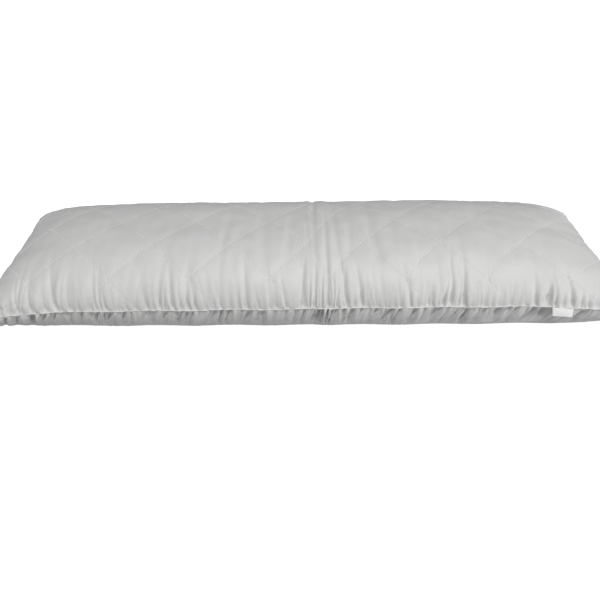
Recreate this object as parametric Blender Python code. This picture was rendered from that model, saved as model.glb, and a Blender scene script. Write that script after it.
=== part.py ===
"""A long quilted body pillow, lying on its back.

Metres, +Z up. The origin is on the surface it rests on, under its middle. +X runs along its
length and -Y is its front, the long side with the label. The two panels are described in cloth
coordinates, u along and v across the flat panel, and each point of the cloth is then placed on
the filled form by its distance along it.
"""

import math

import bmesh
import bpy
import numpy as np
from mathutils import Vector

# The panels before filling.
CLOTH_LENGTH = 1.40
CLOTH_WIDTH = 0.45

# The filled form.
LENGTH = 1.385  # from ear to ear, before their tips are rounded
WIDTH = 0.435  # the same across
END_DRAW_IN = 0.042  # of each short end at its middle
SIDE_DRAW_IN = 0.030  # of each long side at its waist
END_CURVE = 2.3  # the higher, the nearer the corner the short end flares
SIDE_CURVE = 10  # the same for a long side
TIP_ROUNDING = 0.010
TIP_CURVE = 40  # the higher, the smaller the part of a corner that is rounded
SEAM_HEIGHT = 0.062  # of the edge seam over the floor
SEAM_RISE = 0.003  # from the middle to the right end, and as much down to the left
EAR_DROP = 0.022  # how much lower the seam lies at the corners
EAR_CURVE = 14  # the higher, the nearer the corners it falls
CROWN = 0.099  # of the top face over the seam
CROWN_END = 7.2  # the higher, the steeper the crown ends towards the short ends
CROWN_SIDE = 2.3  # and towards the long sides
BELLY = 0.118  # how far the underside would hang below the seam if nothing held it up
BELLY_RISE = 0.014  # more at the right end, and as much less at the left
BELLY_SIDE = 2.6
CONTACT_SOFTNESS = 0.007  # the higher, the more gently the underside meets the floor
RESTING_LENGTH = 1.10  # of the cloth that lies dead flat, from corner to corner
RESTING_WIDTH = 0.25
RESTING_WAIST = 0.2  # the share of that by which its edges bow in between the corners
CLEARANCE = 0.0008  # between the floor and the cloth round it
LIP = 0.003  # the turned seam stands out this far, and is as thick

# The quilting: stitched lines in both diagonal directions.
QUILT_PITCH = 0.163  # from crossing to crossing, along and across
QUILT_STEPS = 8  # mesh steps from crossing to crossing
LEAST_STEP = 0.4  # of such a step: no mesh line lies nearer to the seam
QUILT_DEPTH = 0.005  # of a stitched line under a diamond's middle
QUILT_ROUNDNESS = 0.5  # the lower, the sharper the channel
QUILT_FADE = 0.04  # the channels fade out over this much cloth at the seam
QUILT_SLACK = 0.10  # and where the form is thinner than about this share of its crown
QUILT_PULL = 0.003  # the stitched lines draw the seam in this far where they meet it

# Where the pillow was folded, the cloth lies in soft troughs across it.
FOLDS = (
    dict(u=-0.098, depth=0.0030, width=0.024),
    dict(u=0.030, depth=0.0060, width=0.020),
    dict(u=0.105, depth=0.0030, width=0.018),
    dict(u=0.190, depth=0.0045, width=0.020),
)
# The cloth that they take up between start and end, which draws in what lies beyond.
TAKE_UP = dict(start=-0.03, end=0.14, depth=0.052, fade=6)

# The label: a tape folded double, its ends sewn into the front seam.
LABEL_PLACE = 0.5585  # of its middle, in cloth coordinates
LABEL_WIDTH = 0.043
LABEL_HEIGHT = 0.0175
LABEL_TAPER = 0.08  # how much narrower it is at its fold
LABEL_THICKNESS = 0.0012
LABEL_LEAN = math.radians(62)  # of its face from the floor
LABEL_BOW = 0.0012  # its middle stands this far out of its plane
LABEL_GAP = 0.0005
LABEL_STEPS_ACROSS = 8
LABEL_STEPS_DOWN = 4

CURVE_SAMPLES = 241


def clear_scene():
    for old in list(bpy.data.objects):
        bpy.data.objects.remove(old)


def cloth_material(name, colour, roughness):
    material = bpy.data.materials.new(name)
    material.use_nodes = True
    shader = material.node_tree.nodes["Principled BSDF"]
    shader.inputs["Base Color"].default_value = (*colour, 1)
    shader.inputs["Roughness"].default_value = roughness
    shader.inputs["Metallic"].default_value = 0
    return material


def add_object(name, mesh, material):
    data = bpy.data.meshes.new(name)
    mesh.to_mesh(data)
    mesh.free()
    data.shade_smooth()
    data.materials.append(material)
    made = bpy.data.objects.new(name, data)
    bpy.context.collection.objects.link(made)
    return made


def dome(place, power):
    """The height of a filled section, 1 in the middle and 0 at its edges."""
    return math.sqrt(max(0.0, 1 - abs(place) ** power))


def fold_depth(u):
    return sum(row["depth"] * math.exp(-(((u - row["u"]) / row["width"]) ** 2)) for row in FOLDS)


def taken_up(u, s):
    """How far the folds draw the cloth at u back towards them; it fades out at the ears."""
    share = max(0.0, min(1.0, (u - TAKE_UP["start"]) / (TAKE_UP["end"] - TAKE_UP["start"])))
    return TAKE_UP["depth"] * share**2 * (3 - 2 * share) * (1 - abs(s) ** TAKE_UP["fade"])


def place_by_distance(share, half_width, height, power):
    """Where a share of the way along the cloth lies on a domed section, from -1 to 1."""
    out = np.sin(np.linspace(0, math.pi / 2, CURVE_SAMPLES))
    rise = height * np.sqrt(1 - out**power)
    steps = np.hypot(np.diff(out * half_width), np.diff(rise))
    along = np.concatenate([[0], np.cumsum(steps)])
    return math.copysign(float(np.interp(abs(share) * along[-1], along, out)), share)


def outline(s, t):
    """Half the length and half the width of the plan at shares s along and t across."""
    tip = TIP_ROUNDING * abs(s * t) ** TIP_CURVE
    half_length = LENGTH / 2 - END_DRAW_IN * (1 - abs(t) ** END_CURVE) - tip
    half_width = WIDTH / 2 - SIDE_DRAW_IN * (1 - abs(s) ** SIDE_CURVE) - tip
    return half_length, half_width


def seam_height(s, t):
    return SEAM_HEIGHT + SEAM_RISE * s - EAR_DROP * abs(s) ** EAR_CURVE * t**2


def channel_depth(u, v):
    """How far the stitching pulls the cloth in: most on the lines, nothing mid diamond."""
    falling = abs(math.cos(math.pi * (u + v) / QUILT_PITCH))
    rising = abs(math.cos(math.pi * (u - v) / QUILT_PITCH))
    to_seam = min(CLOTH_LENGTH / 2 - abs(u), CLOTH_WIDTH / 2 - abs(v))
    fade = min(1.0, to_seam / QUILT_FADE)
    return QUILT_DEPTH * (1 - (falling * rising) ** QUILT_ROUNDNESS) * fade


def lies_flat(u, v):
    """Whether the cloth is pressed against the floor at u, v."""
    along = min(1.0, 2 * abs(u) / RESTING_LENGTH)
    across = min(1.0, 2 * abs(v) / RESTING_WIDTH)
    return (
        along < 1 - RESTING_WAIST * (1 - across**2) and across < 1 - RESTING_WAIST * (1 - along**2)
    )


def panel_point(u, v, side):
    """A point of the cloth on the filled form; side is 1 on top and -1 underneath."""
    share_u = max(-1.0, min(1.0, u / (CLOTH_LENGTH / 2 - LIP)))
    share_v = max(-1.0, min(1.0, v / (CLOTH_WIDTH / 2 - LIP)))
    across = dome(place_by_distance(share_v, WIDTH / 2, CROWN, CROWN_SIDE), CROWN_SIDE)
    s = place_by_distance(share_u, LENGTH / 2, CROWN * across, CROWN_END)
    swell = dome(s, CROWN_END)
    t = place_by_distance(share_v, WIDTH / 2, CROWN * swell, CROWN_SIDE)

    half_length, half_width = outline(s, t)
    half_length -= QUILT_PULL * math.cos(math.pi * v / QUILT_PITCH) ** 2
    half_width -= QUILT_PULL * math.cos(math.pi * u / QUILT_PITCH) ** 2
    inset_x = 0 if abs(u) >= CLOTH_LENGTH / 2 else LIP
    inset_y = 0 if abs(v) >= CLOTH_WIDTH / 2 else LIP
    x = s * (half_length - inset_x) - taken_up(u, s)
    y = t * (half_width - inset_y)

    seam = seam_height(s, t) + side * LIP / 2
    full = swell * dome(t, CROWN_SIDE if side > 0 else BELLY_SIDE)
    if full == 0:
        return Vector((x, y, seam))
    pulled_in = channel_depth(u, v) * full / (full + QUILT_SLACK)
    pulled_in += fold_depth(u) * full
    if side > 0:
        return Vector((x, y, seam + CROWN * full - pulled_in))
    if lies_flat(u, v):
        return Vector((x, y, 0))
    hang = seam - (BELLY + BELLY_RISE * s) * full + pulled_in
    lift = (hang + math.hypot(hang, CONTACT_SOFTNESS * full)) / 2
    return Vector((x, y, lift + CLEARANCE * full))


def cloth_stations(size):
    """Mesh lines across a panel: through every crossing of the quilting, and at the seam."""
    step = QUILT_PITCH / QUILT_STEPS
    count = int((size / 2 - LIP) / step - LEAST_STEP)
    inner = [step * k for k in range(-count, count + 1)]
    lip = [size / 2 - LIP, size / 2]
    return [-lip[1], -lip[0], *inner, *lip]


def splits_rising(u, v):
    """Whether the stitched line nearest to a face's middle is a rising one."""
    falling = abs(math.cos(math.pi * (u + v) / QUILT_PITCH))
    rising = abs(math.cos(math.pi * (u - v) / QUILT_PITCH))
    return rising < falling


def build_pillow(material):
    us, vs = cloth_stations(CLOTH_LENGTH), cloth_stations(CLOTH_WIDTH)
    mesh = bmesh.new()
    top, low = (
        [[mesh.verts.new(panel_point(u, v, side)) for v in vs] for u in us] for side in (1, -1)
    )
    for i in range(len(us) - 1):
        for j in range(len(vs) - 1):
            rising = splits_rising((us[i] + us[i + 1]) / 2, (vs[j] + vs[j + 1]) / 2)
            for grid in (top, low):
                a, b, c, d = grid[i][j], grid[i + 1][j], grid[i + 1][j + 1], grid[i][j + 1]
                for face in ((a, b, c), (a, c, d)) if rising else ((a, b, d), (b, c, d)):
                    mesh.faces.new(face if grid is top else face[::-1])

    last_i, last_j = len(us) - 1, len(vs) - 1
    rim = [(i, 0) for i in range(last_i)] + [(last_i, j) for j in range(last_j)]
    rim += [(i, last_j) for i in range(last_i, 0, -1)] + [(0, j) for j in range(last_j, 0, -1)]
    for (i, j), (k, m) in zip(rim, rim[1:] + rim[:1]):
        mesh.faces.new((low[i][j], low[k][m], top[k][m], top[i][j]))
    return add_object("pillow", mesh, material)


def build_label(material):
    """A folded tape that leans out from the top edge of the front seam."""
    left, right = (
        panel_point(LABEL_PLACE + sign * LABEL_WIDTH / 2, -CLOTH_WIDTH / 2, 1) for sign in (-1, 1)
    )
    root = (left + right) / 2
    along = (right - left).normalized()
    outward = along.cross(Vector((0, 0, 1))).normalized()
    down = outward * math.cos(LABEL_LEAN) - Vector((0, 0, math.sin(LABEL_LEAN)))
    normal = along.cross(down) * -1
    root += outward * (LABEL_GAP + LABEL_THICKNESS / 2)

    mesh = bmesh.new()
    faces = []
    for side in (1, -1):
        rows = []
        for k in range(LABEL_STEPS_DOWN + 1):
            fall = k / LABEL_STEPS_DOWN
            width = LABEL_WIDTH * (1 - LABEL_TAPER * fall)
            rows.append([])
            for j in range(LABEL_STEPS_ACROSS + 1):
                across = j / LABEL_STEPS_ACROSS - 0.5
                bow = LABEL_BOW * math.sin(math.pi * fall) * (1 - (2 * across) ** 2)
                point = root + along * (across * width) + down * (fall * LABEL_HEIGHT)
                point += normal * (bow + side * LABEL_THICKNESS / 2)
                rows[-1].append(mesh.verts.new(point))
        faces.append(rows)
    front, back = faces
    for k in range(LABEL_STEPS_DOWN):
        for j in range(LABEL_STEPS_ACROSS):
            for rows, turn in ((front, 1), (back, -1)):
                corners = (rows[k][j], rows[k + 1][j], rows[k + 1][j + 1], rows[k][j + 1])
                mesh.faces.new(corners[::turn])
    last_k, last_j = LABEL_STEPS_DOWN, LABEL_STEPS_ACROSS
    edge = [(k, 0) for k in range(last_k)] + [(last_k, j) for j in range(last_j)]
    edge += [(k, last_j) for k in range(last_k, 0, -1)] + [(0, j) for j in range(last_j, 0, -1)]
    for (i, j), (k, m) in zip(edge, edge[1:] + edge[:1]):
        mesh.faces.new((back[i][j], back[k][m], front[k][m], front[i][j]))
    return add_object("label", mesh, material)


clear_scene()
build_pillow(cloth_material("microfibre", (0.80, 0.80, 0.79), 0.75))
build_label(cloth_material("label tape", (0.90, 0.90, 0.89), 0.55))
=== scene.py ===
"""The looks of the quilted body pillow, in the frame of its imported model.

Metres, +Z up, +X along the pillow, -Y its front. The cloth is described in cloth coordinates,
u along and v across the flat panel. The filled form repeats the model's own sizes, so that every
stitched line and pucker lies where the cloth would carry it. The lip of the seam and the depth of
the quilting are the cloth's own: they are finer here than the model's solids carry them.
"""

import math

import bpy
import numpy as np
from mathutils import Matrix, Vector


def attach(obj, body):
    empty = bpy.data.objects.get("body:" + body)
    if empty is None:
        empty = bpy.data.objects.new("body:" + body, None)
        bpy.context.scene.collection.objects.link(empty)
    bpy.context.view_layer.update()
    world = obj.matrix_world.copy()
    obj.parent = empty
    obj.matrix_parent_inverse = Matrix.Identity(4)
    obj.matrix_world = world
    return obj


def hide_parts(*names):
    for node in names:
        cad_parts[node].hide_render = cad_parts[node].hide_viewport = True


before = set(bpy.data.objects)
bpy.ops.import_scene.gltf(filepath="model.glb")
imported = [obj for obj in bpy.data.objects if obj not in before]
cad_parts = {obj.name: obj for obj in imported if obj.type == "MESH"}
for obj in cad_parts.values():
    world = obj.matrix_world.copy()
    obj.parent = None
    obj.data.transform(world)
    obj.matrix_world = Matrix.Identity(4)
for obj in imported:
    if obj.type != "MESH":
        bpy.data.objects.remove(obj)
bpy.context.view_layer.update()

# The panels before filling.
CLOTH_LENGTH = 1.40
CLOTH_WIDTH = 0.45

# The filled form, as in the model.
LENGTH = 1.385
WIDTH = 0.435
END_DRAW_IN = 0.042
SIDE_DRAW_IN = 0.030
END_CURVE = 2.3
SIDE_CURVE = 10
TIP_ROUNDING = 0.010
TIP_CURVE = 40
SEAM_HEIGHT = 0.062
SEAM_RISE = 0.003
EAR_DROP = 0.022
EAR_CURVE = 14
CROWN = 0.099
CROWN_END = 7.2
CROWN_SIDE = 2.3
BELLY = 0.118
BELLY_RISE = 0.014
BELLY_SIDE = 2.6
CONTACT_SOFTNESS = 0.007
LIP = 0.003
QUILT_PITCH = 0.163
QUILT_ROUNDNESS = 0.30
QUILT_FADE = 0.04
QUILT_SLACK = 0.10
QUILT_PULL = 0.003
TAKE_UP = dict(start=-0.03, end=0.14, depth=0.052, fade=6)
CURVE_SAMPLES = 481
FULLNESS_LEVELS = 61
LEVEL_MARGIN = 1e-9

QUILT_DEPTH = 0.0018
FLOOR_FADE = 0.022  # the underside's relief fades out below this height

# The lip of the seam, and how the gathers move it.
LIP_SHOWN = 0.25  # the share of it that stands out of the gathered cloth
LIP_THICKNESS = 0.0014
LIP_ROUNDNESS = 0.9  # the higher, the thinner the lip's outer edge
NIP = dict(
    depth=0.0013,  # how far it is drawn in at most
    pitch=0.013,
    lift=0.5,  # how far it is moved up and down, as a share of that depth
    lift_spacing=1.6,  # and over how many of those pitches
    side_fade=16,  # the higher, the nearer to the front and back seams it stays
    end_fade=50,  # and to the end seams
)

# The mesh: the stitched lines run through its points.
STEPS_ALONG = 81  # from crossing to crossing
STEPS_ACROSS = 27
FINE_BAND = 0.030  # the rows are half as far apart this near the front and back seams
LEAST_STEP = 0.4  # the share of a step that is left free next to the lip
UNDER_BAND = 0.055  # the underside is fine this far in from the seam
UNDER_COARSE = 3  # and this many times coarser where it lies on the floor
LIP_ROWS = (1.3, 1.0, 0.6, 0.0)  # shares of the lip, from just inside its root out

# The needle's own groove, and the small puckers across it.
GROOVE = dict(
    depth=0.0002,
    width=0.0030,
    keep=2,  # it stays whole this many times nearer to the seam than the quilting
)
CROSS_PUCKERS = dict(
    pitch=0.011,
    depth=0.0008,
    width=0.010,
    middle=0.6,  # their mean height, as a share of the depth
    wander=0.8,  # how many pitches they stray
    wander_spacing=5,  # and over how many
)

# Wrinkles across the middle, where the pillow was folded.
FOLDS = (
    dict(u=-0.176, v=-0.06, depth=0.0018, width=0.010, reach=0.09, slant=0.06),
    dict(u=-0.098, v=-0.02, depth=0.0026, width=0.014, reach=0.15, slant=-0.06),
    dict(u=-0.040, v=-0.05, depth=0.0016, width=0.009, reach=0.10, slant=0.08),
    dict(u=0.004, v=-0.03, depth=0.0018, width=0.008, reach=0.10, slant=-0.05),
    dict(u=0.030, v=0.08, depth=0.0046, width=0.012, reach=0.16, slant=0.02),
    dict(u=0.072, v=-0.06, depth=0.0024, width=0.009, reach=0.09, slant=0.04),
    dict(u=0.105, v=-0.02, depth=0.0026, width=0.012, reach=0.14, slant=-0.04),
    dict(u=0.140, v=-0.07, depth=0.0018, width=0.008, reach=0.08, slant=0.08),
    dict(u=0.190, v=-0.04, depth=0.0040, width=0.013, reach=0.15, slant=-0.05),
    dict(u=0.235, v=-0.05, depth=0.0014, width=0.010, reach=0.09, slant=0.06),
)
FOLD_SWELL = 0.35  # how far the cloth swells beside a wrinkle, as a share of its depth
FOLD_SWELL_WIDTH = 2  # and how much wider than the wrinkle that is

# Slack in the cloth: soft uneven waves over each face, wide and narrow.
SLACK = (
    dict(depth=0.0011, size=0.16, seed=31),
    dict(depth=0.0004, size=0.050, seed=37),
)

# Puckers that the sewing gathers into the cloth at the seam, fine to coarse.
TOP_PUCKERS = (
    dict(pitch=0.0065, length=0.014, width=0.0020, depth=0.0036, slant=0.00),
    dict(pitch=0.0090, length=0.036, width=0.0026, depth=0.0042, slant=0.05),
    dict(pitch=0.0180, length=0.060, width=0.0040, depth=0.0060, slant=0.00),
    dict(pitch=0.0600, length=0.110, width=0.0090, depth=0.0040, slant=0.00),
)
LOW_PUCKERS = (
    dict(pitch=0.0105, length=0.028, width=0.0028, depth=0.0090, slant=0.40),
    dict(pitch=0.0210, length=0.038, width=0.0040, depth=0.0120, slant=0.45),
    dict(pitch=0.0450, length=0.055, width=0.0056, depth=0.0120, slant=0.50),
)
# Each size in those tables is taken times a random share: at least the least, and at most the
# range more. The higher the bias, the more of the shares are near the least.
PUCKER_VARIES = dict(
    length=dict(least=0.45, range=1.10, bias=1),
    width=dict(least=0.70, range=0.70, bias=1),
    depth=dict(least=0.25, range=1.35, bias=1.5),
    pitch=dict(least=0.50, range=1.00, bias=1),
)
SLANT_VARIES = 0.12  # the slant's own spread

# One pucker's shape.
PUCKER_START = 0.0015  # it starts this far in from the seam's lip
PUCKER_FADE = 1.6  # the higher, the more suddenly it ends at its length
PUCKER_WIDENS = 0.7  # how much wider it is by there
PUCKER_REACH = dict(widths=3, lengths=2, turn=0.4)  # how far from its root it is felt
CREASE = 1.3  # the lower, the sharper its valley
BULGE = 0.35  # how far the cloth swells beside it, as a share of its depth
BULGE_WIDTH = 2.2  # and how much wider than the valley that is
NECK = {1: 0.8, -1: 1.25}  # no deeper than this share of the way to the seam, above and below
LEAST_NECK = 0.0004

# Where the front's top puckers crowd together, and how strong they are in between.
CROWDED = (
    dict(u=-0.655, width=0.025),
    dict(u=-0.580, width=0.060),
    dict(u=-0.510, width=0.020),
    dict(u=-0.430, width=0.030),
    dict(u=-0.270, width=0.050),
    dict(u=0.060, width=0.100),
    dict(u=0.330, width=0.050),
    dict(u=0.545, width=0.035),
    dict(u=0.635, width=0.045),
)
UNCROWDED = 0.48
UNEVEN = dict(middle=0.85, swing=0.3, wavelength=0.16)  # the same for the ends and the underside
BACK_STRENGTH = 0.45

# Single creases just above the front seam, and deep tucks just under it.
CREASES = (
    dict(u=-0.590, length=0.044, width=0.0060, depth=0.0070, slant=-0.15),
    dict(u=-0.562, length=0.060, width=0.0045, depth=0.0080, slant=0.05),
    dict(u=-0.505, length=0.036, width=0.0060, depth=0.0060, slant=0.30),
    dict(u=-0.452, length=0.036, width=0.0050, depth=0.0060, slant=-0.20),
    dict(u=-0.330, length=0.050, width=0.0060, depth=0.0050, slant=0.10),
    dict(u=-0.250, length=0.050, width=0.0060, depth=0.0060, slant=-0.10),
    dict(u=0.524, length=0.040, width=0.0060, depth=0.0070, slant=-0.15),
)
TUCKS = (
    dict(u=-0.640, length=0.030, width=0.0060, depth=0.0060, slant=0.50),
    dict(u=-0.572, length=0.026, width=0.0040, depth=0.0060, slant=0.00),
    dict(u=-0.500, length=0.034, width=0.0080, depth=0.0070, slant=0.60),
    dict(u=-0.440, length=0.034, width=0.0050, depth=0.0080, slant=0.05),
    dict(u=0.316, length=0.036, width=0.0080, depth=0.0090, slant=0.60),
    dict(u=0.532, length=0.034, width=0.0080, depth=0.0320, slant=0.60),
    dict(u=0.534, length=0.026, width=0.0045, depth=0.0180, slant=0.05),
)

# Where the random series start, so that each run draws the same.
SEED = 7
SEEDS = dict(
    falling_lines=11,
    rising_lines=23,
    under_front=61,
    side_nips=71,
    end_nips=73,
    front=201,
    back=202,
    left=203,
    right=204,
    underside=1000,
)
WAVE_PEAK = 1.6  # a sum of waves is divided by this, so that it seldom passes 1
LEAST_NORM = 1e-12


def dome(place, power):
    return np.sqrt(np.clip(1 - np.abs(place) ** power, 0, 1))


def place_by_distance(share, half_width, heights, power):
    """Where shares of the way along the cloth lie on domed sections of these heights, -1 to 1."""
    out = np.sin(np.linspace(0, math.pi / 2, CURVE_SAMPLES))
    shares = np.linspace(0, 1, CURVE_SAMPLES)
    levels = np.linspace(0, np.max(heights) + LEVEL_MARGIN, FULLNESS_LEVELS)
    table = []
    for height in levels:
        steps = np.hypot(np.diff(out * half_width), np.diff(height * dome(out, power)))
        along = np.concatenate([[0], np.cumsum(steps)])
        table.append(np.interp(shares * along[-1], along, out))
    table = np.array(table)
    share, heights = np.broadcast_arrays(share, heights)
    row = heights / levels[1]
    col = np.abs(share) * (CURVE_SAMPLES - 1)
    i = np.clip(row.astype(int), 0, FULLNESS_LEVELS - 2)
    j = np.clip(col.astype(int), 0, CURVE_SAMPLES - 2)
    a, b = row - i, col - j
    low = table[i, j] * (1 - b) + table[i, j + 1] * b
    high = table[i + 1, j] * (1 - b) + table[i + 1, j + 1] * b
    return np.sign(share) * (low * (1 - a) + high * a)


def smooth_step(x):
    x = np.clip(x, 0, 1)
    return x * x * (3 - 2 * x)


def ripple(x, wavelength, seed, spread=0.5, terms=7):
    """A smooth uneven wave along x, about from -1 to 1."""
    random = np.random.default_rng(SEED + seed)
    total = np.zeros_like(x)
    for _ in range(terms):
        length = wavelength * math.exp(random.normal(0, spread))
        total += np.cos(2 * math.pi * (x / length + random.random()))
    return total / math.sqrt(terms / 2) / WAVE_PEAK


def crumple(x, y, wavelength, seed, spread=0.3, terms=14):
    """A smooth uneven field over x and y, about from -1 to 1."""
    random = np.random.default_rng(SEED + seed)
    total = np.zeros(np.broadcast(x, y).shape)
    for _ in range(terms):
        turn = random.random() * 2 * math.pi
        length = wavelength * math.exp(random.normal(0, spread))
        along = x * math.cos(turn) + y * math.sin(turn)
        total += np.cos(2 * math.pi * (along / length + random.random()))
    return total / math.sqrt(terms / 2) / WAVE_PEAK


def nipped(place, rim, fade, seed):
    """How far the gathers lift the seam at each place along it, and how far they draw it in."""
    near = np.abs(rim) ** fade
    slow = ripple(place, NIP["lift_spacing"] * NIP["pitch"], seed)
    quick = ripple(place, NIP["pitch"], seed + 1)
    lift = NIP["lift"] * NIP["depth"] * slow * near
    pull = NIP["depth"] * (0.5 + 0.5 * quick) * near * np.sign(rim)
    return lift, pull


def form(us, vs, side):
    """The smooth filled form at every u and v, and how full it is there."""
    u, v = us[:, None], vs[None, :]
    share_u = np.clip(u / (CLOTH_LENGTH / 2 - LIP), -1, 1)
    share_v = np.clip(v / (CLOTH_WIDTH / 2 - LIP), -1, 1)
    flat_t = place_by_distance(share_v, WIDTH / 2, CROWN, CROWN_SIDE)
    s = place_by_distance(share_u, LENGTH / 2, CROWN * dome(flat_t, CROWN_SIDE), CROWN_END)
    swell = dome(s, CROWN_END)
    t = place_by_distance(share_v, WIDTH / 2, CROWN * swell, CROWN_SIDE)

    tip = TIP_ROUNDING * np.abs(s * t) ** TIP_CURVE
    half_length = LENGTH / 2 - END_DRAW_IN * (1 - np.abs(t) ** END_CURVE) - tip
    half_width = WIDTH / 2 - SIDE_DRAW_IN * (1 - np.abs(s) ** SIDE_CURVE) - tip
    half_length = half_length - QUILT_PULL * np.cos(math.pi * v / QUILT_PITCH) ** 2
    half_width = half_width - QUILT_PULL * np.cos(math.pi * u / QUILT_PITCH) ** 2
    inset_x = np.clip(CLOTH_LENGTH / 2 - np.abs(u), 0, LIP)
    inset_y = np.clip(CLOTH_WIDTH / 2 - np.abs(v), 0, LIP)
    drawn_x = LIP - LIP_SHOWN * (LIP - inset_x)
    drawn_y = LIP - LIP_SHOWN * (LIP - inset_y)
    fade = 1 - np.abs(s) ** TAKE_UP["fade"]
    taken = smooth_step((u - TAKE_UP["start"]) / (TAKE_UP["end"] - TAKE_UP["start"]))
    side_lift, side_pull = nipped(u, t, NIP["side_fade"], SEEDS["side_nips"])
    end_lift, end_pull = nipped(v, s, NIP["end_fade"], SEEDS["end_nips"])
    x = s * (half_length - drawn_x) - TAKE_UP["depth"] * taken * fade - end_pull
    y = t * (half_width - drawn_y) - side_pull

    out = 1 - np.minimum(inset_x, inset_y) / LIP
    lip = LIP_THICKNESS / 2 * np.sqrt(1 - LIP_ROUNDNESS * out**2)
    seam = SEAM_HEIGHT + SEAM_RISE * s - EAR_DROP * np.abs(s) ** EAR_CURVE * t**2
    seam = seam + side * lip + side_lift + end_lift
    full = swell * dome(t, CROWN_SIDE if side > 0 else BELLY_SIDE)
    if side > 0:
        z = seam + CROWN * full
    else:
        hang = seam - (BELLY + BELLY_RISE * s) * full
        z = (hang + np.hypot(hang, CONTACT_SOFTNESS * full)) / 2
    return np.stack(np.broadcast_arrays(x, y, z), axis=-1), full


def unit(vectors):
    return vectors / np.maximum(np.linalg.norm(vectors, axis=-1, keepdims=True), LEAST_NORM)


def outward(points, side):
    """The unit normals of a grid of points."""
    along, across = np.gradient(points, axis=0), np.gradient(points, axis=1)
    return unit(np.cross(along, across) * side)


def seam_distance(u, v):
    """How far in from the nearest edge of the flat cloth."""
    return np.minimum(CLOTH_LENGTH / 2 - np.abs(u), CLOTH_WIDTH / 2 - np.abs(v))


def quilt_waves(u, v):
    """A wave that is zero on the stitched lines that fall to the right, and one for the others."""
    return [np.cos(math.pi * (u + way * v) / QUILT_PITCH) for way in (1, -1)]


def quilting(u, v, full, side):
    """The relief of the stitched lines."""
    falling, rising = quilt_waves(u, v)
    channels = 1 - np.abs(falling * rising) ** QUILT_ROUNDNESS
    fade = np.clip(seam_distance(u, v) / QUILT_FADE, 0, 1) * full / (full + QUILT_SLACK)
    height = -QUILT_DEPTH * channels * fade
    pitch, spacing = CROSS_PUCKERS["pitch"], CROSS_PUCKERS["wander_spacing"]
    for across, along, seed in (
        (u + v, u - v, SEEDS["falling_lines"]),
        (u - v, u + v, SEEDS["rising_lines"]),
    ):
        turns = across / QUILT_PITCH - 0.5
        near = np.abs(turns - np.round(turns)) * QUILT_PITCH / math.sqrt(2)
        groove = GROOVE["depth"] * np.exp(-((near / GROOVE["width"]) ** 2))
        height = height - groove * np.minimum(GROOVE["keep"] * fade, 1)
        wander = CROSS_PUCKERS["wander"] * ripple(along, spacing * pitch, seed + side)
        wave = np.abs(np.sin(math.pi * (along / pitch + wander)))
        reach = np.exp(-((near / CROSS_PUCKERS["width"]) ** 2))
        pucker = CROSS_PUCKERS["depth"] * (wave - CROSS_PUCKERS["middle"])
        height = height - pucker * reach * fade
    return height


def folds(u, v, full):
    """The wrinkles across the middle."""
    height = np.zeros(np.broadcast(u, v).shape)
    for row in FOLDS:
        place = (u - row["u"] - row["slant"] * (v - row["v"])) / row["width"]
        swell = FOLD_SWELL * np.exp(-((place / FOLD_SWELL_WIDTH) ** 2))
        reach = np.exp(-(((v - row["v"]) / row["reach"]) ** 2))
        height -= row["depth"] * (np.exp(-(place**2)) - swell) * reach * full
    return height


def varied(random, kind, size):
    """One of a kind's sizes, drawn from its spread."""
    spread = PUCKER_VARIES[size]
    return kind[size] * (spread["least"] + spread["range"] * random.random() ** spread["bias"])


def pucker_rows(kinds, end, strength, seed):
    """Seeded puckers of each kind from one end of a seam, at -end, to the other."""
    random = np.random.default_rng(SEED + seed)
    rows = []
    for kind in kinds:
        place = -end
        while place < end:
            row = {size: varied(random, kind, size) for size in ("length", "width", "depth")}
            row["depth"] *= strength(place)
            row["slant"] = kind["slant"] + random.normal(0, SLANT_VARIES)
            rows.append(dict(row, u=place))
            place += varied(random, kind, "pitch")
    return rows


def add_puckers(depth, along, inward, rows):
    """Adds each row's valley to depth[along, inward], deepest just inside the seam."""
    start = smooth_step((inward - LIP) / PUCKER_START)
    for row in rows:
        turn = PUCKER_REACH["turn"] + abs(row["slant"])
        reach = PUCKER_REACH["widths"] * row["width"]
        reach += PUCKER_REACH["lengths"] * row["length"] * turn
        first, last = np.searchsorted(along, (row["u"] - reach, row["u"] + reach))
        width = row["width"] * (1 + PUCKER_WIDENS * inward / row["length"])
        place = along[first:last, None] - row["u"] + row["slant"] * inward
        bulge = BULGE * np.exp(-((place / width / BULGE_WIDTH) ** 2))
        valley = np.exp(-(np.abs(place / width) ** CREASE)) - bulge
        fade = np.exp(-((inward / row["length"]) ** PUCKER_FADE)) * start
        depth[first:last] += row["depth"] * valley * fade


def crowding(place):
    """The strength of the front's top puckers."""
    return UNCROWDED + sum(math.exp(-(((place - c["u"]) / c["width"]) ** 2)) for c in CROWDED)


def uneven(seed):
    """A strength that drifts along a seam."""

    def strength(place):
        drift = float(ripple(np.array([place]), UNEVEN["wavelength"], seed)[0])
        return UNEVEN["middle"] + UNEVEN["swing"] * drift

    return strength


def even(place):
    """The strength along the back seam."""
    return BACK_STRENGTH


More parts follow.
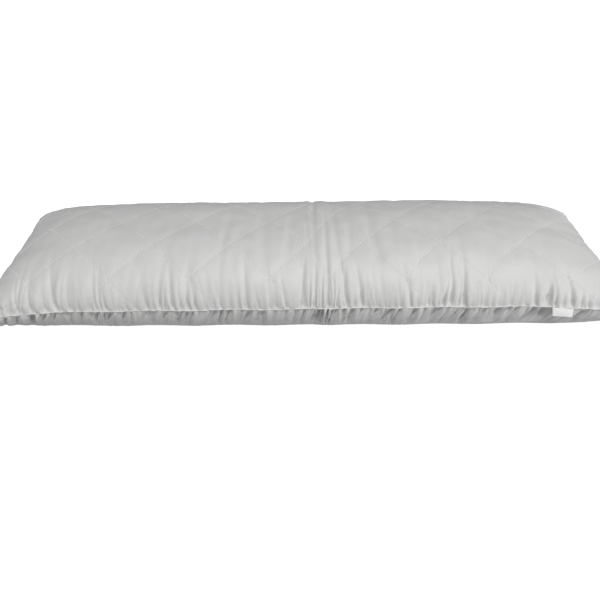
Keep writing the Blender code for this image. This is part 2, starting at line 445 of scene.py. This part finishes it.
def gathers(us, vs, side):
    """The puckers along the four seams of a panel."""
    depth = np.zeros((len(us), len(vs)))
    half_u, half_v = CLOTH_LENGTH / 2, CLOTH_WIDTH / 2
    if side > 0:
        kinds, singles, front, later = TOP_PUCKERS, CREASES, crowding, 0
    else:
        kinds, singles, front = LOW_PUCKERS, TUCKS, uneven(SEEDS["under_front"])
        later = SEEDS["underside"]
    for sign, strength, seam, extra in ((-1, front, "front", singles), (1, even, "back", ())):
        rows = pucker_rows(kinds, half_u, strength, SEEDS[seam] + later)
        add_puckers(depth, us, half_v - sign * vs, [*rows, *extra])
    for sign, seam in ((-1, "left"), (1, "right")):
        rows = pucker_rows(kinds[1:], half_v, uneven(SEEDS[seam]), SEEDS[seam] + later)
        add_puckers(depth.T, vs, half_u - sign * us, rows)
    to_seam = seam_distance(us[:, None], vs[None, :])
    neck = LEAST_NECK + NECK[side] * np.maximum(to_seam - LIP, 0)
    return -neck * np.tanh(depth / neck)


def relief(us, vs, side, full):
    """How far the cloth stands out from the smooth form at every u and v."""
    u, v = us[:, None], vs[None, :]
    height = quilting(u, v, full, side) + gathers(us, vs, side)
    if side > 0:
        height += folds(u, v, full)
    for row in SLACK:
        height += row["depth"] * crumple(u, v, row["size"], row["seed"] + side) * full
    return height


def stations(size, steps, fine_band=0.0, coarse_inside=None):
    """Mesh lines across a panel: through each crossing, closer together in a band at the seam."""
    step = QUILT_PITCH / steps
    count = int((size / 2 - LIP) / step - LEAST_STEP)
    lines = [0.0]
    for k in range(1, count + 1):
        to_seam = size / 2 - k * step
        if coarse_inside and to_seam > coarse_inside and k % UNDER_COARSE:
            continue
        between = [(k - 0.5) * step] if to_seam < fine_band else []
        for place in [*between, k * step]:
            lines += [-place, place]
    for share in LIP_ROWS:
        lines += [-(size / 2 - share * LIP), size / 2 - share * LIP]
    return np.array(sorted(lines))


class Panel:
    """One face of the cover, as a grid of points over its stations: side 1 on top, -1 under."""

    def __init__(self, side):
        self.side = side
        self.us = stations(CLOTH_LENGTH, STEPS_ALONG)
        coarse_inside = UNDER_BAND if side < 0 else None
        self.vs = stations(CLOTH_WIDTH, STEPS_ACROSS, FINE_BAND, coarse_inside)
        points, full = form(self.us, self.vs, side)
        height = relief(self.us, self.vs, side, full)
        if side < 0:
            height *= smooth_step(points[..., 2] / FLOOR_FADE)
        points = points + outward(points, side) * height[..., None]
        points[..., 2] = np.maximum(points[..., 2], 0)
        self.points = points

    def at(self, u, v):
        """Points between the grid's."""
        i = np.clip(np.searchsorted(self.us, u) - 1, 0, len(self.us) - 2)
        j = np.clip(np.searchsorted(self.vs, v) - 1, 0, len(self.vs) - 2)
        a = ((u - self.us[i]) / (self.us[i + 1] - self.us[i]))[:, None]
        b = ((v - self.vs[j]) / (self.vs[j + 1] - self.vs[j]))[:, None]
        p = self.points
        low = p[i, j] * (1 - a) + p[i + 1, j] * a
        high = p[i, j + 1] * (1 - a) + p[i + 1, j + 1] * a
        return low * (1 - b) + high * b

    def faces(self, offset):
        """Triangles whose edges follow the stitched lines, facing out."""
        nu, nv = len(self.us), len(self.vs)
        i, j = np.meshgrid(np.arange(nu - 1), np.arange(nv - 1), indexing="ij")
        mid_u = (self.us[i] + self.us[i + 1]) / 2
        mid_v = (self.vs[j] + self.vs[j + 1]) / 2
        falling, rising = np.abs(quilt_waves(mid_u, mid_v))
        a, b = offset + i * nv + j, offset + (i + 1) * nv + j
        c, d = b + 1, a + 1
        up = (rising < falling)[..., None]
        first = np.where(up, np.stack([a, b, c], -1), np.stack([a, b, d], -1))
        second = np.where(up, np.stack([a, c, d], -1), np.stack([b, c, d], -1))
        faces = np.concatenate([first.reshape(-1, 3), second.reshape(-1, 3)])
        return faces if self.side > 0 else faces[:, ::-1]

    def rim(self, offset, end):
        """The vertex numbers and stations along one edge: front, back, left or right."""
        nu, nv = len(self.us), len(self.vs)
        if end in ("front", "back"):
            return offset + np.arange(nu) * nv + (0 if end == "front" else nv - 1), self.us
        return offset + np.arange(nv) + (0 if end == "left" else (nu - 1) * nv), self.vs


def join_rims(low, top, turned):
    """Triangles between two rims whose stations may be unevenly many."""
    (low_ids, low_at), (top_ids, top_at) = low, top
    faces, a, b = [], 0, 0
    while a < len(top_ids) - 1 or b < len(low_ids) - 1:
        if b == len(low_ids) - 1 or (a < len(top_ids) - 1 and top_at[a + 1] <= low_at[b + 1]):
            faces.append((low_ids[b], top_ids[a], top_ids[a + 1]))
            a += 1
        else:
            faces.append((low_ids[b], top_ids[a], low_ids[b + 1]))
            b += 1
    faces = np.array(faces)
    return faces[:, ::-1] if turned else faces


def mesh_object(name, points, faces, material, cloth=None):
    """A smooth object; cloth gives each point's place on the flat cloth, in metres, as its UV."""
    data = bpy.data.meshes.new(name)
    data.from_pydata(np.asarray(points).tolist(), [], np.asarray(faces).tolist())
    data.validate()
    data.shade_smooth()
    data.materials.append(material)
    if cloth is not None:
        layer = data.uv_layers.new(name="cloth")
        loops = np.empty(len(data.loops), int)
        data.loops.foreach_get("vertex_index", loops)
        layer.data.foreach_set("uv", np.asarray(cloth)[loops].ravel())
    made = bpy.data.objects.new(name, data)
    bpy.context.collection.objects.link(made)
    return made


def cloth_grid(first, second):
    """Cloth places for a grid of points, row by row."""
    return np.stack(np.meshgrid(first, second, indexing="ij"), -1).reshape(-1, 2)


def build_cover(top, low, material):
    """The sewn cover: both panels, joined round the lip of the seam."""
    start = top.points.shape[0] * top.points.shape[1]
    points = np.concatenate([top.points.reshape(-1, 3), low.points.reshape(-1, 3)])
    faces = [top.faces(0), low.faces(start)]
    for end, turned in (("front", True), ("back", False), ("left", False), ("right", True)):
        faces.append(join_rims(low.rim(start, end), top.rim(0, end), turned))
    cloth = [cloth_grid(top.us, top.vs), cloth_grid(low.us, low.vs + CLOTH_WIDTH)]
    faces, cloth = np.concatenate(faces), np.concatenate(cloth)
    return mesh_object("quilted_cover", points, faces, material, cloth)


# The quilting's stitches.
STITCH_PITCH = 0.0042
STITCH_LENGTH = 0.0034
STITCH_RADIUS = 0.00050
STITCH_FLATNESS = 0.7
STITCH_SIDES = 5
STITCH_LIFT = 0.00040
STITCH_MARGIN = 0.006  # they stop this far from the seam
# Each ring's place along the stitch, from -1 to 1, and its size. The small ones dip into the cloth.
STITCH_RINGS = (
    dict(place=-1.0, size=0.25),
    dict(place=-0.72, size=0.9),
    dict(place=0.0, size=1.0),
    dict(place=0.72, size=0.9),
    dict(place=1.0, size=0.25),
)


def stitch_places():
    """Where each stitch's middle lies on the cloth, and the way it runs."""
    half_u, half_v = CLOTH_LENGTH / 2 - STITCH_MARGIN, CLOTH_WIDTH / 2 - STITCH_MARGIN
    pitch = STITCH_PITCH / math.sqrt(2)
    reach = int((half_u + half_v) / QUILT_PITCH) + 1
    places = []
    for k in range(-reach, reach):
        for way in (1, -1):
            v = np.arange(-half_v, half_v, pitch)
            u = (k + 0.5) * QUILT_PITCH + way * v
            keep = np.abs(u) < half_u
            places.append(np.stack([u[keep], v[keep], np.full(keep.sum(), way)], -1))
    return np.concatenate(places)


def stitch_faces():
    """The triangles of one stitch's rings and of its two ends."""
    n, last = STITCH_SIDES, (len(STITCH_RINGS) - 1) * STITCH_SIDES
    faces = []
    for r in range(len(STITCH_RINGS) - 1):
        for k in range(n):
            a, b = r * n + k, r * n + (k + 1) % n
            faces += [(a, b + n, b), (a, a + n, b + n)]
    for k in range(1, n - 1):
        faces += [(0, k, k + 1), (last, last + k + 1, last + k)]
    return np.array(faces)


def build_stitches(panel, name, material):
    """Every stitch of a panel's quilting, one small rounded thread each, as one mesh."""
    u, v, way = stitch_places().T
    reach = STITCH_LENGTH / 2 / math.sqrt(2)
    middle = panel.at(u, v)
    along_u = panel.at(u + reach, v) - panel.at(u - reach, v)
    along_v = panel.at(u, v + reach) - panel.at(u, v - reach)
    normal = unit(np.cross(along_u, along_v) * panel.side)
    along = unit(along_u * way[:, None] + along_v)
    across = np.cross(along, normal)

    turns = np.arange(STITCH_SIDES) * 2 * math.pi / STITCH_SIDES
    points = []
    for ring in STITCH_RINGS:
        place, size = ring["place"], ring["size"]
        centre = middle + along * (place * STITCH_LENGTH / 2)
        centre = centre + normal * (STITCH_LIFT * (2 * size - 1))
        for turn in turns:
            side_way = across * (math.cos(turn) * STITCH_RADIUS * size)
            up_way = normal * (math.sin(turn) * STITCH_RADIUS * size * STITCH_FLATNESS)
            points.append(centre + side_way + up_way)
    points = np.stack(points, axis=1)
    points[..., 2] += np.maximum(-points[..., 2].min(axis=1, keepdims=True), 0)
    starts = np.arange(len(middle))[:, None, None] * points.shape[1]
    faces = (stitch_faces()[None] + starts).reshape(-1, 3)
    return mesh_object(name, points.reshape(-1, 3), faces, material)


# The label: a tape folded double, its ends sewn into the front seam, as in the model.
LABEL_PLACE = 0.5585
LABEL_WIDTH = 0.043
LABEL_HEIGHT = 0.0175
LABEL_TAPER = 0.08
LABEL_THICKNESS = 0.0012
LABEL_LEAN = math.radians(62)
LABEL_BOW = 0.0012
LABEL_GAP = 0.0005
LABEL_PLY = 0.0004
LABEL_STEPS_ACROSS = 28
LABEL_STEPS_DOWN = 14
LABEL_FOLD_STEPS = 6
LABEL_WEAVE_STEP = 0.001  # how far its weave runs on from one row of points to the next


def label_path():
    """The fold's section, from the seam down the front ply, round the fold and back up."""
    half = (LABEL_THICKNESS - LABEL_PLY) / 2
    straight = LABEL_HEIGHT - LABEL_THICKNESS / 2
    path = [(straight * k / LABEL_STEPS_DOWN, half) for k in range(LABEL_STEPS_DOWN)]
    for k in range(LABEL_FOLD_STEPS + 1):
        turn = math.pi * k / LABEL_FOLD_STEPS
        path.append((straight + half * math.sin(turn), half * math.cos(turn)))
    path += [(straight * k / LABEL_STEPS_DOWN, -half) for k in range(LABEL_STEPS_DOWN - 1, -1, -1)]
    return np.array(path)


def label_faces(rows, count):
    """Triangles of the folded tape: its outer side, its inner side and its cut edges."""
    faces = []
    back = rows * count

    def close(a, b, turned):
        quad = [(a, back + a, back + b), (a, back + b, b)]
        faces.extend([face[::-1] for face in quad] if turned else quad)

    for k in range(rows - 1):
        for j in range(count - 1):
            a, b = k * count + j, (k + 1) * count + j
            faces += [(a, b, b + 1), (a, b + 1, a + 1)]
            faces += [(back + a, back + b + 1, back + b), (back + a, back + a + 1, back + b + 1)]
        close(k * count, (k + 1) * count, False)
        close(k * count + count - 1, (k + 1) * count + count - 1, True)
    for j in range(count - 1):
        close(j, j + 1, True)
        close((rows - 1) * count + j, (rows - 1) * count + j + 1, False)
    return faces


def build_label(top, material):
    """The label, hung from the top panel's front edge."""
    across = np.array([-0.5, 0.5]) * LABEL_WIDTH
    left, right = top.at(LABEL_PLACE + across, np.full(2, -CLOTH_WIDTH / 2))
    along = (right - left) / np.linalg.norm(right - left)
    out = np.cross(along, (0, 0, 1))
    out /= np.linalg.norm(out)
    down = out * math.cos(LABEL_LEAN) - np.array((0, 0, math.sin(LABEL_LEAN)))
    normal = -np.cross(along, down)
    root = (left + right) / 2 + out * (LABEL_GAP + LABEL_THICKNESS / 2)

    path = label_path()
    way = np.gradient(path, axis=0)
    way /= np.linalg.norm(way, axis=1, keepdims=True)
    outer_side = np.stack([-way[:, 1], way[:, 0]], -1)
    cols = np.linspace(-0.5, 0.5, LABEL_STEPS_ACROSS + 1)
    grids = []
    for sign in (1, -1):
        section = path + outer_side * (sign * LABEL_PLY / 2)
        fall = np.clip(section[:, 0] / LABEL_HEIGHT, 0, 1)[:, None]
        width = LABEL_WIDTH * (1 - LABEL_TAPER * fall)
        bow = LABEL_BOW * np.sin(math.pi * fall) * (1 - (2 * cols[None]) ** 2)
        points = root + along * (cols[None, :, None] * width[..., None])
        points = points + down * section[:, 0][:, None, None]
        points = points + normal * (section[:, 1][:, None, None] + bow[..., None])
        grids.append(points)
    points = np.concatenate([g.reshape(-1, 3) for g in grids])
    cloth = cloth_grid(np.arange(len(path)) * LABEL_WEAVE_STEP, cols * LABEL_WIDTH)
    faces = label_faces(len(path), len(cols))
    return mesh_object("label_tape", points, faces, material, np.concatenate([cloth] * 2))


# Looks that the materials share.
WARMTH = 0.992  # blue against red and green in every off-white
MOTTLE_RANGE = (0.35, 0.65)  # the noise from its dark tone to its light one
WAVE_BANDS = 10  # how many ribs a wave texture at scale 1 has in pi metres


def new_material(name, colour, roughness):
    material = bpy.data.materials.new(name)
    material.use_nodes = True
    shader = material.node_tree.nodes["Principled BSDF"]
    shader.inputs["Base Color"].default_value = (*colour, 1)
    shader.inputs["Roughness"].default_value = roughness
    return material, shader


def cloth_place(tree):
    """Where a point lies on the flat cloth, in metres."""
    place = tree.nodes.new("ShaderNodeUVMap")
    place.uv_map = "cloth"
    return place.outputs["UV"]


def noise(tree, place, scale, detail):
    node = tree.nodes.new("ShaderNodeTexNoise")
    node.inputs["Scale"].default_value = scale
    node.inputs["Detail"].default_value = detail
    tree.links.new(place, node.inputs["Vector"])
    return node.outputs["Fac"]


def mottle(tree, place, patch, dark, light):
    """A colour that drifts between two tones over patches of about this size."""
    ramp = tree.nodes.new("ShaderNodeValToRGB")
    for element, position, tone in zip(ramp.color_ramp.elements, MOTTLE_RANGE, (dark, light)):
        element.position = position
        element.color = (tone, tone, tone * WARMTH, 1)
    tree.links.new(noise(tree, place, scale=1 / patch, detail=3), ramp.inputs["Fac"])
    return ramp.outputs["Color"]


def bump(tree, height, depth, strength, under=None):
    """The surface bent by a height, over another bump's if that is given."""
    node = tree.nodes.new("ShaderNodeBump")
    node.inputs["Strength"].default_value = strength
    node.inputs["Distance"].default_value = depth
    tree.links.new(height, node.inputs["Height"])
    if under is not None:
        tree.links.new(under, node.inputs["Normal"])
    return node.outputs["Normal"]


def ribs(tree, place, directions, period, wobble):
    """The height of fine threads that run across each direction."""
    height = None
    for direction in directions:
        wave = tree.nodes.new("ShaderNodeTexWave")
        wave.bands_direction = direction
        wave.inputs["Scale"].default_value = math.pi / (WAVE_BANDS * period)
        wave.inputs["Distortion"].default_value = wobble
        tree.links.new(place, wave.inputs["Vector"])
        if height is None:
            height = wave.outputs["Fac"]
        else:
            both = tree.nodes.new("ShaderNodeMath")
            both.operation = "MULTIPLY"
            tree.links.new(height, both.inputs[0])
            tree.links.new(wave.outputs["Fac"], both.inputs[1])
            height = both.outputs[0]
    return height


def build_microfibre():
    """Soft off-white cloth: a drifting tone, a fine weave and a crinkle over it."""
    material, shader = new_material("microfibre", colour=(0.68, 0.68, 0.675), roughness=0.55)
    shader.inputs["Specular IOR Level"].default_value = 0.5
    shader.inputs["Sheen Weight"].default_value = 0.25
    shader.inputs["Sheen Roughness"].default_value = 0.4
    tree = material.node_tree
    place = cloth_place(tree)
    tone = mottle(tree, place, patch=0.05, dark=0.665, light=0.695)
    tree.links.new(tone, shader.inputs["Base Color"])
    threads = ribs(tree, place, ("X", "Y"), period=0.00045, wobble=1.5)
    weave = bump(tree, threads, depth=0.0002, strength=0.15)
    slub = noise(tree, place, scale=90, detail=4)
    crinkle = bump(tree, slub, depth=0.0008, strength=0.25, under=weave)
    tree.links.new(crinkle, shader.inputs["Normal"])
    return material


def build_thread():
    """The stitches' thread, with its twist."""
    material, shader = new_material("quilting_thread", colour=(0.90, 0.90, 0.89), roughness=0.5)
    tree = material.node_tree
    place = tree.nodes.new("ShaderNodeTexCoord").outputs["Object"]
    tone = mottle(tree, place, patch=0.02, dark=0.88, light=0.92)
    tree.links.new(tone, shader.inputs["Base Color"])
    plies = ribs(tree, place, ("DIAGONAL",), period=0.0005, wobble=0.5)
    twist = bump(tree, plies, depth=0.0001, strength=0.5)
    tree.links.new(twist, shader.inputs["Normal"])
    return material


def build_tape():
    """The label's tape: satin ribs one way, a looser weave the other."""
    material, shader = new_material("label_tape", colour=(0.86, 0.86, 0.85), roughness=0.42)
    tree = material.node_tree
    place = cloth_place(tree)
    tone = mottle(tree, place, patch=0.004, dark=0.84, light=0.87)
    tree.links.new(tone, shader.inputs["Base Color"])
    fine = ribs(tree, place, ("X",), period=0.0004, wobble=0.3)
    loose = ribs(tree, place, ("Y",), period=0.0015, wobble=0.8)
    satin = bump(tree, fine, depth=0.0001, strength=0.4)
    woven = bump(tree, loose, depth=0.0001, strength=0.15, under=satin)
    tree.links.new(woven, shader.inputs["Normal"])
    return material


FLOOR_SIZE = 12
FLOOR_GAP = 0.0002
FLOOR_GLOW = 0.95


def build_floor():
    """A white floor that glows a little in itself, but doesn't light the pillow by it."""
    corners = [(x * FLOOR_SIZE, y * FLOOR_SIZE, 0) for x, y in ((-1, -1), (1, -1), (1, 1), (-1, 1))]
    material, shader = new_material("floor", colour=(0.44, 0.44, 0.44), roughness=0.9)
    shader.inputs["Specular IOR Level"].default_value = 0.0
    shader.inputs["Emission Color"].default_value = (1, 1, 1, 1)
    shader.inputs["Emission Strength"].default_value = FLOOR_GLOW
    floor = mesh_object("floor", corners, [(0, 1, 2), (0, 2, 3)], material)
    floor.location.z = -FLOOR_GAP
    lit = bpy.data.collections.new("lit_by_floor")
    lit.objects.link(floor)
    floor.light_linking.receiver_collection = lit


WORLD_STRENGTH = 0.18
LIGHT_AIM = Vector((0, 0, 0.05))
LIGHTS = (
    dict(name="key", place=(1.6, -3.4, 8.0), size=1.4, power=485),
    dict(name="low left", place=(-3.0, -1.8, 0.4), size=0.6, power=8),
    dict(name="low right", place=(3.2, -2.2, 0.3), size=0.6, power=34),
)


def build_lights():
    """A plain soft studio: one large light above the camera, and a low one at each end."""
    world = bpy.data.worlds.new("studio")
    bpy.context.scene.world = world
    world.use_nodes = True
    world.node_tree.nodes["Background"].inputs["Color"].default_value = (1, 1, 1, 1)
    world.node_tree.nodes["Background"].inputs["Strength"].default_value = WORLD_STRENGTH
    for row in LIGHTS:
        data = bpy.data.lights.new(row["name"], "AREA")
        data.shape, data.size, data.energy = "SQUARE", row["size"], row["power"]
        light = bpy.data.objects.new(row["name"], data)
        light.location = row["place"]
        aim = LIGHT_AIM - Vector(row["place"])
        light.rotation_euler = aim.to_track_quat("-Z", "Y").to_euler()
        bpy.context.collection.objects.link(light)


# The camera: where it stands seen from the pillow, and the point on the floor it looks at.
CAMERA_DISTANCE = 1.254
CAMERA_ELEVATION = math.radians(34.06)
CAMERA_AZIMUTH = math.radians(2.03)
CAMERA_SEEN_FROM = Vector((0, 0, 0.07))
CAMERA_AIM = Vector((-0.0163, -0.0759, 0))
CAMERA_ROLL = math.radians(0.29)
CAMERA_LENS = 33.05
CAMERA_SENSOR = 36
CAMERA_CLIP = 0.01


def build_camera():
    data = bpy.data.cameras.new("camera")
    data.lens, data.sensor_width, data.clip_start = CAMERA_LENS, CAMERA_SENSOR, CAMERA_CLIP
    camera = bpy.data.objects.new("camera", data)
    e, w = CAMERA_ELEVATION, CAMERA_AZIMUTH
    toward = Vector((math.sin(w) * math.cos(e), math.cos(w) * math.cos(e), -math.sin(e)))
    place = CAMERA_SEEN_FROM - toward * CAMERA_DISTANCE
    turn = (CAMERA_AIM - place).to_track_quat("-Z", "Y").to_matrix().to_4x4()
    camera.matrix_world = Matrix.Translation(place) @ turn @ Matrix.Rotation(CAMERA_ROLL, 4, "Z")
    bpy.context.collection.objects.link(camera)
    bpy.context.scene.camera = camera


build_camera()
build_lights()
build_floor()

top_panel, low_panel = Panel(1), Panel(-1)
cover = build_cover(top_panel, low_panel, build_microfibre())
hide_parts("pillow")
label = build_label(top_panel, build_tape())
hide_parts("label")
thread = build_thread()
stitches = [
    build_stitches(top_panel, "stitches_top", thread),
    build_stitches(low_panel, "stitches_under", thread),
]
for piece in (cover, label, *stitches):
    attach(piece, "root")
bpy.context.scene.view_settings.view_transform = "Standard"
